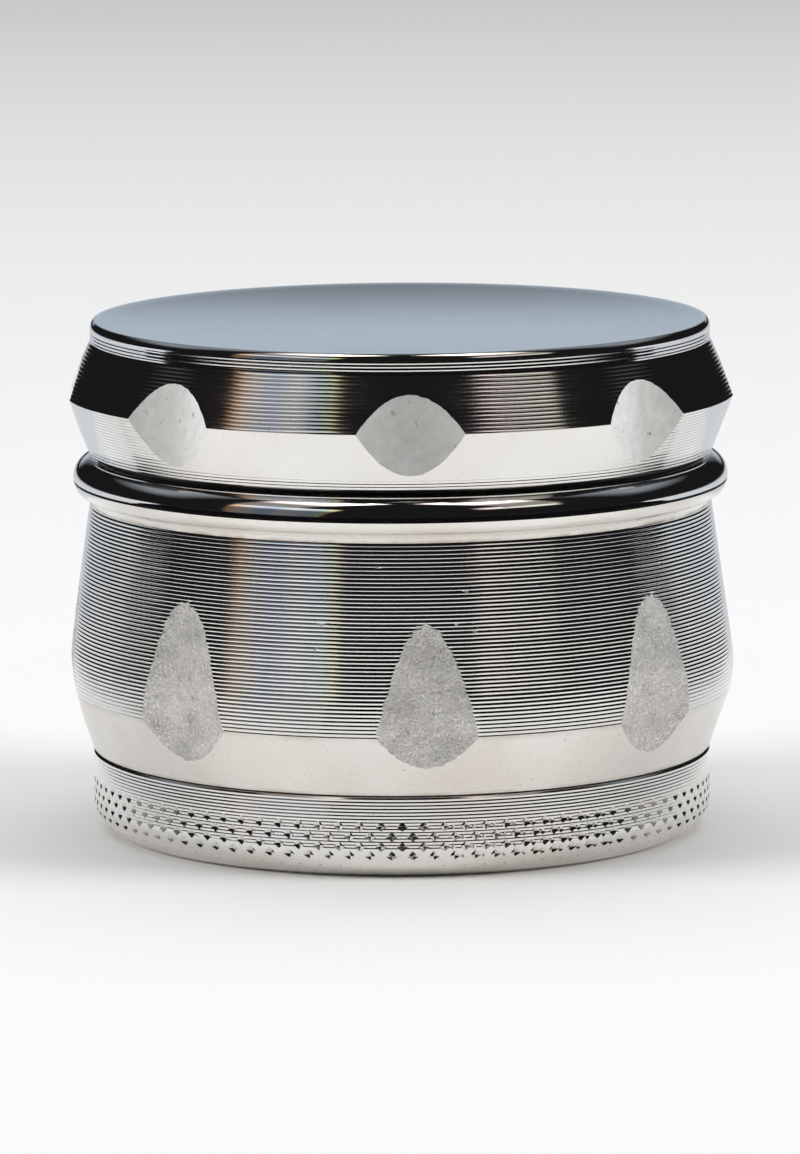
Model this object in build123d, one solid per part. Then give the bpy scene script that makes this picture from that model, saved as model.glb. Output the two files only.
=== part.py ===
from build123d import *
import os
from math import asin, cos, pi, radians, sin, sqrt

# A four-piece drum-shaped hand grinder: catcher cup, storage drum, grinding chamber and lid.
# Millimetres, +Z up, the origin at the centre of the underside, the front along -Y.
# Heights marked z are above the table; radii are from the central axis.

# Outline of revolution
waist_r = 29.2            # the cup, and the drum where it meets the cup
cup_z = 7.7               # top of the cup's wall
cup_corner_r = 2.9        # rounding of the cup's lower outer corner
belly_out = 2.2           # the drum's widest ring stands out past the waist by this
belly_rise = 7.7          # the widest ring's height above the drum's lower end
belly_round = 2.0         # half the height of the rounded belly
belly_drop = 0.2          # how far the belly falls back at the ends of its rounding
drum_height = 25.25       # lower end to upper end of the drum
drum_taper_height = 5.6   # plain taper between the drum's lower end and its belly
flank_top_out = 0.1       # top of the drum's flank, past the waist
cove_drop = 1.95          # from the drum's upper end down to the top of the flank
cove_mid_out = 0.333      # the cove's middle, as a share of the way out to the bead
cove_mid_up = 0.6         # and as a share of the way up to it
bead_out = 1.65           # crest of the rounded bead past the waist
bead_r = 1.93             # radius of the bead's own rounding
lip_turn = 45.0           # degrees under the crest where the drum takes up the bead's rounding
bead_crest_rise = 0.2     # crest of the bead above the chamber's underside
lid_gap = 0.4             # the open line between the bead and the lid
lid_foot_out = 0.2        # lower edge of the lid's skirt past the waist
lid_ridge_out = 2.25      # the lid's sharp ridge past the waist
lid_taper_height = 5.42   # lower edge of the lid to its ridge
lid_flare_height = 5.14   # the ridge to the foot of the rim
lid_rim_height = 1.88     # upright band at the top of the lid
lid_rim_in = 0.05         # the upright band, inside the waist
lid_edge_r = 0.4          # rounding of the lid's top edge
dish_depth = 0.35         # hollow in the middle of the lid's top
small_bevel = 0.15        # broken edges

# Flutes: cast hollows with upright walls, cut into the drum and the lid
flute_count = 8
drum_flute_r = 16.0
drum_flute_depth = 1.1
drum_flute_turn = 4.3     # degrees to the right of the front
lid_flute_r = 11.4
lid_flute_depth = 1.55
lid_flute_turn = 1.7

# Threads, right handed
pitch = 1.5
ridge_height = 0.55
ridge_width = 0.6         # along the axis at its root
ridge_tip_width = 0.25
ridge_sunk = 0.25         # how far a ridge is buried in the wall that carries it
thread_gap = 0.25         # radial room between the two halves of a thread
thread_length = 4.0
thread_end_room = 0.5     # below the end of a male thread
washer_thick = 0.2
washer_inset = 0.35       # outer edge of a washer, inside the wall beside it
cup_wall = 2.35
socket_wall = 2.05        # the drum's wall outside the upper thread, at the flank's top
spigot_wall = 1.6
skirt_wall = 1.5

# Cup and drum, inside
cup_floor = 1.6
cup_bowl_in = 0.65        # the bowl is this much narrower than the thread's bore
bowl_corner_r = 2.0
foot_recess = 0.3         # hollow in the cup's underside
foot_ring = 3.0           # width of the ring that the cup stands on
screen_rise = 0.9         # the screen's ledge above the drum's lower end

# Screen
mesh_thick = 0.2
screen_gap = 0.3          # round the screen, inside the bore
hoop_width = 1.0
hoop_thick = 0.4
clip_wire = 0.8
clip_bite = 0.4           # how far the clip springs into its groove
clip_mouth = 24.0         # degrees left open between the clip's ends
clip_groove_gap = 0.05

# Grinding chamber
chamber_floor = 2.4
neck_gap = 0.35           # between the neck and the lid's skirt
neck_wall = 1.7
neck_top_gap = 1.3        # the neck's top below the lid's ceiling
lid_skirt_wall = 2.05     # at the skirt's lower edge
lid_ceiling = 3.4         # the lid's thickness above its cavity
post_r = 5.2
tooth_rings = 5
tooth_gap = 0.7           # radial room between neighbouring rings of teeth
tooth_half_width = 1.5
tooth_end_gap = 0.8
tooth_taper = 3.0
lid_teeth = (6, 9, 14)
chamber_teeth = (7, 11)
chamber_teeth_turn = (0.0, 16.4)
lid_teeth_turn = (10.0, 25.0, 5.0)
hole_rings = (6, 12, 20)
hole_edge_gap = 0.15      # a drop hole's radius is this much under half a tooth's length

# Glide ring and magnets
ring_sleeve_wall = 0.55
ring_sleeve_height = 1.35
ring_gap = 0.05
ring_flange = 1.25
magnet_r = 4.0
magnet_thick = 2.0
magnet_face_gap = 0.4
magnet_fit = 0.02

# Worked out
drum_z = cup_z + washer_thick
drum_top = drum_z + drum_height
chamber_z = drum_top + washer_thick
bead_z = chamber_z + bead_crest_rise
shoulder_z = bead_z + bead_r
lid_z = shoulder_z + lid_gap
lid_ridge_z = lid_z + lid_taper_height
lid_rim_z = lid_ridge_z + lid_flare_height
lid_top = lid_rim_z + lid_rim_height
ceiling_z = lid_top - lid_ceiling
floor_z = chamber_z + chamber_floor
bead_mid_r = waist_r + bead_out - bead_r
seam_r = bead_mid_r + sqrt(bead_r**2 - bead_crest_rise**2)
lower_bore_r = waist_r - cup_wall
lower_core_r = lower_bore_r - thread_gap - ridge_height
upper_bore_r = waist_r + flank_top_out - socket_wall
upper_core_r = upper_bore_r - thread_gap - ridge_height
drum_bore_r = lower_core_r
spigot_bore_r = lower_core_r - spigot_wall
skirt_bore_r = upper_core_r - skirt_wall
lid_bore_r = waist_r + lid_foot_out - lid_skirt_wall
neck_r = lid_bore_r - neck_gap
neck_bore_r = neck_r - neck_wall
neck_top = ceiling_z - neck_top_gap
screen_z = drum_z + screen_rise
clip_z = screen_z + mesh_thick + hoop_thick
ring_step = (neck_bore_r - post_r - tooth_gap) / tooth_rings
tooth_half_length = (ring_step - tooth_gap) / 2
magnet_gap_z = (floor_z + ceiling_z) / 2
post_top = magnet_gap_z - magnet_face_gap / 2
boss_bottom = magnet_gap_z + magnet_face_gap / 2


def turned(*edges):
    """A solid of revolution from edges drawn as (radius, height)."""
    return revolve(Plane.XZ * make_face(edges), Axis.Z)


def ring(inner, outer, low, high):
    """A plain ring with square corners."""
    return turned(Polyline((inner, low), (outer, low), (outer, high), (inner, high), close=True))


def disc(radius, low, high):
    """A plain round disc."""
    return Pos(0, 0, low) * Cylinder(radius, high - low, align=(Align.CENTER, Align.CENTER, Align.MIN))


def spread(shape, count, radius, turn=0.0):
    """Copies of a shape round the axis, each carried out to the radius."""
    step = 360 / count
    return [Rot(0, 0, turn + step * k) * Pos(radius, 0, 0) * shape for k in range(count)]


def ridge(wall_r, outward, low, high):
    """A thread's helical ridge on a wall of the given radius, its middle rising from low to high."""
    side = 1 if outward else -1
    root = wall_r - side * ridge_sunk
    tip = wall_r + side * ridge_height
    half_root = ridge_width / 2
    half_tip = ridge_tip_width / 2
    outline = Polyline((root, -half_root), (tip, -half_tip), (tip, half_tip), (root, half_root), close=True)
    section = Plane.XZ * make_face(outline)
    path = Helix(pitch, high - low, wall_r)
    return Pos(0, 0, low) * sweep(section, path=path, is_frenet=True)


def male_thread(wall_r, top):
    """The ridge outside a spigot that hangs a thread's length below its shoulder."""
    return ridge(wall_r, True, top - thread_length + ridge_width, top - ridge_width)


def female_thread(wall_r, top):
    """The ridge inside the socket that takes the same spigot, half a pitch away from its ridge."""
    low = top - thread_length + ridge_width + pitch / 2
    return ridge(wall_r, False, low, top - washer_thick - ridge_width)


def flutes(wall_r, depth, radius, turn, low, high):
    """Upright round cutters that leave the hollows in an outside wall."""
    cutter = disc(radius, low, high)
    return spread(cutter, flute_count, wall_r - depth + radius, turn - 90)


def catcher():
    """The shallow cup under the screen, threaded inside its rim."""
    corner = cup_corner_r * (1 - sqrt(0.5))
    low_r = waist_r - cup_corner_r
    bowl_r = lower_bore_r - cup_bowl_in
    ledge_z = drum_z - thread_length - thread_end_room
    bend = bowl_corner_r * (1 - sqrt(0.5))
    shell = turned(
        Polyline((0, foot_recess), (low_r - foot_ring, foot_recess), (low_r - foot_ring, 0), (low_r, 0)),
        ThreePointArc((low_r, 0), (waist_r - corner, corner), (waist_r, cup_corner_r)),
        Polyline(
            (waist_r, cup_corner_r),
            (waist_r, cup_z - small_bevel),
            (waist_r - small_bevel, cup_z),
            (lower_bore_r + ridge_sunk, cup_z),
            (lower_bore_r, cup_z - ridge_sunk),
            (lower_bore_r, ledge_z),
            (bowl_r, ledge_z),
            (bowl_r, cup_floor + bowl_corner_r),
        ),
        ThreePointArc(
            (bowl_r, cup_floor + bowl_corner_r),
            (bowl_r - bend, cup_floor + bend),
            (bowl_r - bowl_corner_r, cup_floor),
        ),
        Polyline((bowl_r - bowl_corner_r, cup_floor), (0, cup_floor), (0, foot_recess)),
    )
    return shell + female_thread(lower_bore_r, drum_z)


def drum():
    """The fluted storage drum, with a socket above and a threaded spigot below."""
    belly_r = waist_r + belly_out
    belly_z = drum_z + belly_rise
    belly_end_r = belly_r - belly_drop
    taper_top = drum_z + drum_taper_height
    flank_r = waist_r + flank_top_out
    flank_z = drum_top - cove_drop
    lip = radians(lip_turn)
    start = -asin((bead_crest_rise + washer_thick) / bead_r)
    lip_r = bead_mid_r + bead_r * cos(lip)
    lip_z = bead_z - bead_r * sin(lip)
    half = (start - lip) / 2
    socket_z = drum_top - thread_length - thread_end_room
    spigot_z = drum_z - thread_length
    outside = [
        Line((waist_r, drum_z), (belly_end_r, taper_top)),
        ThreePointArc((belly_end_r, taper_top), (belly_r, belly_z), (belly_end_r, belly_z + belly_round)),
        Line((belly_end_r, belly_z + belly_round), (flank_r, flank_z)),
        ThreePointArc(
            (flank_r, flank_z),
            (flank_r + (lip_r - flank_r) * cove_mid_out, flank_z + (lip_z - flank_z) * cove_mid_up),
            (lip_r, lip_z),
        ),
        ThreePointArc(
            (lip_r, lip_z),
            (bead_mid_r + bead_r * cos(half), bead_z + bead_r * sin(half)),
            (bead_mid_r + bead_r * cos(start), drum_top),
        ),
    ]
    inside = Polyline(
        (bead_mid_r + bead_r * cos(start), drum_top),
        (upper_bore_r + ridge_sunk, drum_top),
        (upper_bore_r, drum_top - ridge_sunk),
        (upper_bore_r, socket_z),
        (drum_bore_r, socket_z),
        (drum_bore_r, screen_z),
        (spigot_bore_r, screen_z),
        (spigot_bore_r, spigot_z),
        (lower_core_r - small_bevel, spigot_z),
        (lower_core_r, spigot_z + small_bevel),
        (lower_core_r, drum_z),
        (waist_r, drum_z),
    )
    body = turned(*outside, inside)
    groove = ring(
        spigot_bore_r,
        drum_bore_r + clip_bite,
        clip_z - clip_groove_gap,
        clip_z + clip_wire + clip_groove_gap,
    )
    cutters = flutes(belly_r, drum_flute_depth, drum_flute_r, drum_flute_turn, drum_z, flank_z)
    body = body - groove - cutters
    return body + male_thread(lower_core_r, drum_z) + female_thread(upper_bore_r, chamber_z)


def washer(inner, outer, low):
    """A thin washer between two screwed pieces."""
    return ring(inner, outer, low, low + washer_thick)


def screen_clip():
    """The open spring ring that holds the screen down."""
    outer = drum_bore_r + clip_bite - clip_groove_gap
    whole = ring(outer - 2 * clip_wire, outer, clip_z, clip_z + clip_wire)
    reach = outer + clip_wire
    side = reach * sin(radians(clip_mouth / 2))
    mouth = make_face(Polyline((0, 0), (reach, -side), (reach, side), close=True))
    return whole - Pos(0, 0, clip_z - clip_wire) * extrude(mouth, 3 * clip_wire)


def tooth(height, upward):
    """A tapered tooth with a diamond plan, its foot at height zero."""
    plan = make_face(
        Polyline(
            (tooth_half_length, 0),
            (0, tooth_half_width),
            (-tooth_half_length, 0),
            (0, -tooth_half_width),
            close=True,
        )
    )
    peg = extrude(plan, height, taper=tooth_taper)
    return peg if upward else Rot(180, 0, 0) * peg


def teeth(foot_z, upward, first, counts, turns):
    """Rings of teeth on every second ring place, counted out from the centre."""
    height = ceiling_z - floor_z - tooth_end_gap
    made = []
    for k, count in enumerate(counts):
        radius = post_r + tooth_gap + ring_step * (first + 2 * k + 0.5)
        made += spread(Pos(0, 0, foot_z) * tooth(height, upward), count, radius, turns[k])
    return Compound(children=made)


def grinding_chamber():
    """The chamber's casting: bead outside, neck above, drop holes in its floor, thread below."""
    skirt_z = chamber_z - thread_length
    bend = bead_r * sqrt(0.5)
    body = turned(
        Line((seam_r, chamber_z), (waist_r + bead_out, bead_z)),
        ThreePointArc(
            (waist_r + bead_out, bead_z),
            (bead_mid_r + bend, bead_z + bend),
            (bead_mid_r, shoulder_z),
        ),
        Polyline(
            (bead_mid_r, shoulder_z),
            (neck_r, shoulder_z),
            (neck_r, neck_top - 2 * small_bevel),
            (neck_r - 2 * small_bevel, neck_top),
            (neck_bore_r + small_bevel, neck_top),
            (neck_bore_r, neck_top - small_bevel),
            (neck_bore_r, floor_z),
            (post_r, floor_z),
            (post_r, post_top - small_bevel),
            (post_r - small_bevel, post_top),
            (magnet_r + magnet_fit, post_top),
            (magnet_r + magnet_fit, post_top - magnet_thick),
            (0, post_top - magnet_thick),
            (0, chamber_z),
            (skirt_bore_r, chamber_z),
            (skirt_bore_r, skirt_z),
            (upper_core_r - small_bevel, skirt_z),
            (upper_core_r, skirt_z + small_bevel),
            (upper_core_r, chamber_z),
            (seam_r, chamber_z),
        ),
    )
    hole_r = tooth_half_length - hole_edge_gap
    holes = []
    for k, count in enumerate(hole_rings):
        radius = post_r + tooth_gap + ring_step * (2 * k + 0.5)
        hole = disc(hole_r, chamber_z - pitch, floor_z + small_bevel)
        holes += spread(hole, count, radius, 180 / count)
    return body - holes + male_thread(upper_core_r, chamber_z)


def glide_ring():
    """The plastic ring under the lid's skirt, on which the lid turns."""
    inner = neck_r + neck_gap - ring_gap
    sleeve = ring(inner, inner + ring_sleeve_wall, shoulder_z, lid_z + ring_sleeve_height)
    return sleeve + ring(inner, inner + ring_flange, shoulder_z, lid_z)


def lid():
    """The lid's casting: fluted double taper outside, dished top, skirt over the neck."""
    ridge_r = waist_r + lid_ridge_out
    rim_r = waist_r - lid_rim_in
    foot_r = waist_r + lid_foot_out
    edge = lid_edge_r * (1 - sqrt(0.5))
    dish_r = rim_r - 2 * lid_edge_r
    sphere_r = (dish_r**2 + dish_depth**2) / (2 * dish_depth)
    half = asin(dish_r / sphere_r) / 2
    rebate_r = lid_bore_r - ring_gap + ring_sleeve_wall + ring_gap
    rebate_z = lid_z + ring_sleeve_height + ring_gap
    body = turned(
        Polyline(
            (rebate_r, lid_z),
            (foot_r - small_bevel, lid_z),
            (foot_r, lid_z + small_bevel),
            (ridge_r, lid_ridge_z),
            (rim_r, lid_rim_z),
            (rim_r, lid_top - lid_edge_r),
        ),
        ThreePointArc(
            (rim_r, lid_top - lid_edge_r),
            (rim_r - edge, lid_top - edge),
            (rim_r - lid_edge_r, lid_top),
        ),
        Line((rim_r - lid_edge_r, lid_top), (dish_r, lid_top)),
        ThreePointArc(
            (dish_r, lid_top),
            (sphere_r * sin(half), lid_top - dish_depth + sphere_r * (1 - cos(half))),
            (0, lid_top - dish_depth),
        ),
        Polyline(
            (0, lid_top - dish_depth),
            (0, boss_bottom + magnet_thick),
            (magnet_r + magnet_fit, boss_bottom + magnet_thick),
            (magnet_r + magnet_fit, boss_bottom),
            (post_r - small_bevel, boss_bottom),
            (post_r, boss_bottom + small_bevel),
            (post_r, ceiling_z),
            (lid_bore_r, ceiling_z),
            (lid_bore_r, rebate_z),
            (rebate_r, rebate_z),
            (rebate_r, lid_z),
        ),
    )
    cutters = flutes(ridge_r, lid_flute_depth, lid_flute_r, lid_flute_turn, lid_z, lid_top - lid_edge_r)
    return body - cutters


screen_r = drum_bore_r - screen_gap
pieces = {
    "catcher": catcher(),
    "lower_washer": washer(lower_bore_r + ridge_sunk, waist_r - washer_inset, cup_z),
    "drum": drum(),
    "screen_mesh": disc(screen_r, screen_z, screen_z + mesh_thick),
    "screen_hoop": ring(screen_r - hoop_width, screen_r, screen_z + mesh_thick, clip_z),
    "screen_clip": screen_clip(),
    "upper_washer": washer(upper_bore_r + ridge_sunk, seam_r - washer_inset, drum_top),
    "grinding_chamber": grinding_chamber(),
    "chamber_teeth": teeth(floor_z, True, 1, chamber_teeth, chamber_teeth_turn),
    "chamber_magnet": disc(magnet_r, post_top - magnet_thick, post_top),
    "glide_ring": glide_ring(),
    "lid": lid(),
    "lid_teeth": teeth(ceiling_z, False, 0, lid_teeth, lid_teeth_turn),
    "lid_magnet": disc(magnet_r, boss_bottom, boss_bottom + magnet_thick),
}

os.makedirs("parts", exist_ok=True)
for name, shape in pieces.items():
    export_step(shape, "parts/" + name + ".step")
    print(name, round(shape.volume, 1), round(shape.bounding_box().min.Z, 3), round(shape.bounding_box().max.Z, 3))
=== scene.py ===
import bpy
from math import asin, cos, degrees, hypot, pi, radians, sin, sqrt, tan
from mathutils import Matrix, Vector


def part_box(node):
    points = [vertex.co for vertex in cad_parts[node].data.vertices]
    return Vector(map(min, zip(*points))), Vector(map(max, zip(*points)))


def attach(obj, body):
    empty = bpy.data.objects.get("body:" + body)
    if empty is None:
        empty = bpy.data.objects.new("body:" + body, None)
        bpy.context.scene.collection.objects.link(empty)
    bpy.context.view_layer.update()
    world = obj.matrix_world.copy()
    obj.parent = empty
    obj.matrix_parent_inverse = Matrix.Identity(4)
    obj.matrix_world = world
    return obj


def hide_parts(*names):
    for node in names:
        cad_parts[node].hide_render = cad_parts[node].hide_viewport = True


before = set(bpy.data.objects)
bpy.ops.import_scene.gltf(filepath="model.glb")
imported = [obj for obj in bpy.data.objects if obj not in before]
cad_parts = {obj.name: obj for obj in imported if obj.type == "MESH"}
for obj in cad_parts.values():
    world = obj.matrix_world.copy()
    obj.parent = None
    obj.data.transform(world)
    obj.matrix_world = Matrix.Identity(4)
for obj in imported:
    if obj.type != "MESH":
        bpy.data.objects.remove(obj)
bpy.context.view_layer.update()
mm = 0.001
print("frame loaded:", len(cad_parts), "nodes")


def low(node):
    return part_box(node)[0][2] / mm  # underside of a node, in millimetres


def high(node):
    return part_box(node)[1][2] / mm


def reach(node):
    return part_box(node)[1][0] / mm  # outer radius of a round node


# heights and radii that several pieces share, in millimetres
level = {
    "drum": high("lower_washer"),
    "drumTop": low("upper_washer"),
    "chamber": high("upper_washer"),
    "shoulder": low("glide_ring"),
    "lid": low("lid"),
    "lidTop": high("lid"),
    "screen": low("screen_mesh"),
    "clip": low("screen_clip"),
    "post": high("chamber_magnet"),
    "boss": low("lid_magnet"),
}
waist = reach("catcher")
crest = reach("grinding_chamber")
magnetRadius = reach("chamber_magnet")
thread = {"pitch": 1.5, "height": 0.55, "root": 0.6, "tip": 0.25, "sunk": 0.25, "gap": 0.25, "length": 4.0}
thread["washer"] = level["drum"] - low("lower_washer")
bevel = 0.15
mouthBevel = 0.25  # chamfer of a threaded socket's mouth
near = 0.02  # slack when faces are picked by their place
walls = {"cup": 2.35, "drum": 1.95, "lid": 1.85, "neck": 1.7, "roof": 3.4, "floor": 2.4, "turnGap": 0.35}
socket = {"lower": waist - walls["cup"], "upper": waist - walls["drum"]}
core = {name: radius - thread["gap"] - thread["height"] for name, radius in socket.items()}
lidBore = waist - walls["lid"]
neck = {"outside": lidBore - walls["turnGap"]}
neck["inside"] = neck["outside"] - walls["neck"]
bead = {"radius": 1.93, "rise": 0.2}
bead["mid"] = crest - bead["radius"]
bead["z"] = level["chamber"] + bead["rise"]
ceiling = level["lidTop"] - walls["roof"]
floorTop = level["chamber"] + walls["floor"]
roundSteps = 240  # facets round a turned piece
flutes = {"count": 8, "columns": 360, "rowHeight": 0.28, "beyond": 1.0, "lip": 0.9}


def editAll():
    bpy.ops.object.mode_set(mode="EDIT")
    bpy.ops.mesh.select_all(action="SELECT")


def leaveEdit():
    bpy.ops.object.mode_set(mode="OBJECT")


def agreeNormals():
    bpy.ops.mesh.select_all(action="SELECT")
    bpy.ops.mesh.normals_make_consistent(inside=False)


def clearSelection():
    if bpy.context.object and bpy.context.object.mode != "OBJECT":
        leaveEdit()
    bpy.ops.object.select_all(action="DESELECT")


def work(piece):
    clearSelection()
    piece.select_set(True)
    bpy.context.view_layer.objects.active = piece


def settle(piece):
    # applies where the piece stands, how it is turned and its scale
    work(piece)
    bpy.ops.object.transform_apply(location=True, rotation=True, scale=True)


def pick(piece, kind, test):
    # selects the piece's vertices, edges or faces that pass the test, and opens edit mode
    work(piece)
    bpy.context.tool_settings.mesh_select_mode = (kind == "VERT", kind == "EDGE", kind == "FACE")
    mesh = piece.data
    for group in (mesh.vertices, mesh.edges, mesh.polygons):
        group.foreach_set("select", [False] * len(group))
    chosen = {"VERT": mesh.vertices, "EDGE": mesh.edges, "FACE": mesh.polygons}[kind]
    chosen.foreach_set("select", [bool(test(part)) for part in chosen])
    bpy.ops.object.mode_set(mode="EDIT")


def ends(piece, wire):
    return [piece.data.vertices[k].co for k in wire.vertices]


def drawOutline(name, points):
    # a chain of vertices in the XZ plane, pulled out one by one from a plane merged to a point
    clearSelection()
    bpy.ops.mesh.primitive_plane_add(size=mm)
    piece = bpy.context.object
    piece.name = name
    bpy.context.tool_settings.mesh_select_mode = (True, False, False)
    editAll()
    bpy.ops.mesh.merge(type="CENTER")
    r, z = points[0]
    bpy.ops.transform.translate(value=(r * mm, 0, z * mm))
    for nextR, nextZ in points[1:]:
        step = ((nextR - r) * mm, 0, (nextZ - z) * mm)
        bpy.ops.mesh.extrude_region_move(TRANSFORM_OT_translate={"value": step})
        r, z = nextR, nextZ
    bpy.ops.mesh.select_all(action="SELECT")
    bpy.ops.mesh.remove_doubles(threshold=1e-7)
    return piece


def turn(name, points, steps):
    # turns an outline into a closed body; an outline either closes on itself or runs from axis to axis
    piece = drawOutline(name, points)
    bpy.ops.mesh.select_all(action="SELECT")
    bpy.ops.mesh.spin(steps=steps, angle=2 * pi, center=(0, 0, 0), axis=(0, 0, 1), use_auto_merge=True)
    bpy.ops.mesh.select_all(action="SELECT")
    bpy.ops.mesh.remove_doubles(threshold=1e-7)
    bpy.ops.mesh.normals_make_consistent(inside=False)
    leaveEdit()
    return piece


def faceOutward(piece):
    # makes the normals agree, and turns them all over if the shape then measures inside out
    work(piece)
    editAll()
    bpy.ops.mesh.normals_make_consistent(inside=False)
    leaveEdit()
    mesh = piece.data
    mesh.calc_loop_triangles()
    volume = 0
    for triangle in mesh.loop_triangles:
        a, b, c = (mesh.vertices[k].co for k in triangle.vertices)
        volume += a.dot(b.cross(c))
    if volume < 0:
        editAll()
        bpy.ops.mesh.flip_normals()
        leaveEdit()


def swing(piece, turnAngle):
    # turns a finished shape round the central axis, anticlockwise seen from above
    piece.rotation_euler.z = radians(turnAngle)
    settle(piece)


def copyRound(piece, count):
    # copies everything in the piece round the axis
    settle(piece)
    editAll()
    bpy.ops.mesh.spin(steps=count, dupli=True, angle=2 * pi, center=(0, 0, 0), axis=(0, 0, 1))
    bpy.ops.mesh.select_all(action="SELECT")
    bpy.ops.mesh.remove_doubles(threshold=1e-7)
    leaveEdit()


def combine(piece, other, how, transfer=False):
    work(piece)
    cut = piece.modifiers.new("cut", "BOOLEAN")
    cut.operation = how
    cut.object = other
    cut.solver = "MANIFOLD"
    cut.material_mode = "TRANSFER" if transfer else "INDEX"
    bpy.ops.object.modifier_apply(modifier="cut")
    bpy.data.objects.remove(other)


def joinInto(piece, others):
    work(piece)
    for other in others:
        other.select_set(True)
    bpy.ops.object.join()
    return piece


def finishPiece(piece, body, *nodes, angle=20):
    settle(piece)
    bpy.ops.object.shade_smooth_by_angle(angle=radians(angle))
    pick(piece, "FACE", lambda face: face.material_index == castSlot(piece))
    bpy.ops.mesh.region_to_loop()
    bpy.ops.mesh.mark_sharp()
    clearSelection()
    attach(piece, body)
    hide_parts(*nodes)
    print("finished", piece.name, len(piece.data.polygons), "faces")


def castSlot(piece):
    for index, slot in enumerate(piece.material_slots):
        if slot.material and slot.material.name.startswith("cast"):
            return index
    return -1


def dress(piece, *materials):
    piece.data.materials.clear()
    for material in materials:
        piece.data.materials.append(material)


def paint(piece, index, test):
    # gives the faces that pass the test the material in that slot
    mesh = piece.data
    for face in mesh.polygons:
        if test(face.center / mm):
            face.material_index = index


def radiusOf(point):
    return hypot(point.x, point.y)


# outlines are lists of (radius, height) in millimetres
def arc(centre, radius, start, stop, count):
    points = []
    for k in range(count + 1):
        angle = radians(start + (stop - start) * k / count)
        points.append((centre[0] + radius * cos(angle), centre[1] + radius * sin(angle)))
    return points


def arcThrough(a, b, c, count):
    # the circle through three points, sampled from the first to the last
    d = 2 * (a[0] * (b[1] - c[1]) + b[0] * (c[1] - a[1]) + c[0] * (a[1] - b[1]))
    squares = [p[0] ** 2 + p[1] ** 2 for p in (a, b, c)]
    x = (squares[0] * (b[1] - c[1]) + squares[1] * (c[1] - a[1]) + squares[2] * (a[1] - b[1])) / d
    y = (squares[0] * (c[0] - b[0]) + squares[1] * (a[0] - c[0]) + squares[2] * (b[0] - a[0])) / d
    first = Vector((a[0] - x, a[1] - y))
    last = Vector((c[0] - x, c[1] - y))
    sweep = first.angle_signed(last)
    points = []
    for k in range(count + 1):
        angle = -sweep * k / count
        ca, sa = cos(angle), sin(angle)
        points.append((x + first.x * ca - first.y * sa, y + first.x * sa + first.y * ca))
    return points


def along(path, distance):
    # the place on a chain of points at that distance, and the direction there
    for (r0, z0), (r1, z1) in zip(path, path[1:]):
        length = hypot(r1 - r0, z1 - z0)
        if distance <= length or (r1, z1) == path[-1]:
            share = distance / length
            place = (r0 + (r1 - r0) * share, z0 + (z1 - z0) * share)
            return place, ((r1 - r0) / length, (z1 - z0) / length)
        distance -= length


# share of a groove's width, and of its full depth there
grooveShape = ((1 / 3, 0.889), (2 / 3, 0.889), (1, 0))


def grooved(path, spacing, firstDepth, lastDepth):
    # shallow round-bottomed tool marks along a path that climbs on the outside, with sharp crests between
    total = sum(hypot(b[0] - a[0], b[1] - a[1]) for a, b in zip(path, path[1:]))
    count = round(total / spacing)
    points = [path[0]]
    for k in range(count):
        depth = firstDepth + (lastDepth - firstDepth) * k / max(count - 1, 1)
        for share, part in grooveShape:
            (r, z), (dr, dz) = along(path, total * (k + share) / count)
            points.append((r - dz * depth * part, z + dr * depth * part))
    return points


def newMaterial(name):
    material = bpy.data.materials.new(name)
    material.use_nodes = True
    return material, material.node_tree, material.node_tree.nodes["Principled BSDF"]


def addNode(tree, kind, inputs=None, **settings):
    # an input that is given another node's socket is linked to it, any other is set
    node = tree.nodes.new(kind)
    for key, value in settings.items():
        setattr(node, key, value)
    for key, value in (inputs or {}).items():
        if isinstance(value, bpy.types.NodeSocket):
            tree.links.new(value, node.inputs[key])
        else:
            node.inputs[key].default_value = value
    return node


def calculate(tree, operation, *values):
    return addNode(tree, "ShaderNodeMath", dict(enumerate(values)), operation=operation).outputs["Value"]


def remap(tree, value, start, stop, lowValue, highValue):
    inputs = {"Value": value, 1: start, 2: stop, 3: lowValue, 4: highValue}
    return addNode(tree, "ShaderNodeMapRange", inputs).outputs["Result"]


def mixColour(tree, share, first, second):
    # 6, 7 and 2 are the colour sockets of the mix node
    inputs = {"Factor": share, 6: first, 7: second}
    return addNode(tree, "ShaderNodeMix", inputs, data_type="RGBA").outputs[2]


def objectCoords(tree):
    return addNode(tree, "ShaderNodeTexCoord").outputs["Object"]


def ringPlace(tree, coords):
    # radius and height as a texture place, so that a pattern runs round the axis
    flat = addNode(tree, "ShaderNodeVectorMath", {0: coords, 1: (1, 1, 0)}, operation="MULTIPLY")
    length = addNode(tree, "ShaderNodeVectorMath", {0: flat.outputs["Vector"]}, operation="LENGTH")
    split = addNode(tree, "ShaderNodeSeparateXYZ", {0: coords})
    place = addNode(tree, "ShaderNodeCombineXYZ", {"X": length.outputs["Value"], "Z": split.outputs["Z"]})
    return place.outputs["Vector"]


def noiseBand(tree, place, scale, detail, lowValue, highValue, start=0.3, stop=0.7):
    inputs = {"Vector": place, "Scale": scale, "Detail": detail, "Roughness": 0.6}
    noise = addNode(tree, "ShaderNodeTexNoise", inputs)
    return remap(tree, noise.outputs["Fac"], start, stop, lowValue, highValue)


def pitBand(tree, place, scale, strength):
    # a few small spots, where the noise peaks
    return noiseBand(tree, place, scale, 2, 0, strength, 0.66, 0.72)


def bumpOf(tree, height, strength, depth):
    bump = addNode(tree, "ShaderNodeBump", {"Height": height, "Strength": strength, "Distance": depth * mm})
    return bump.outputs["Normal"]


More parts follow.
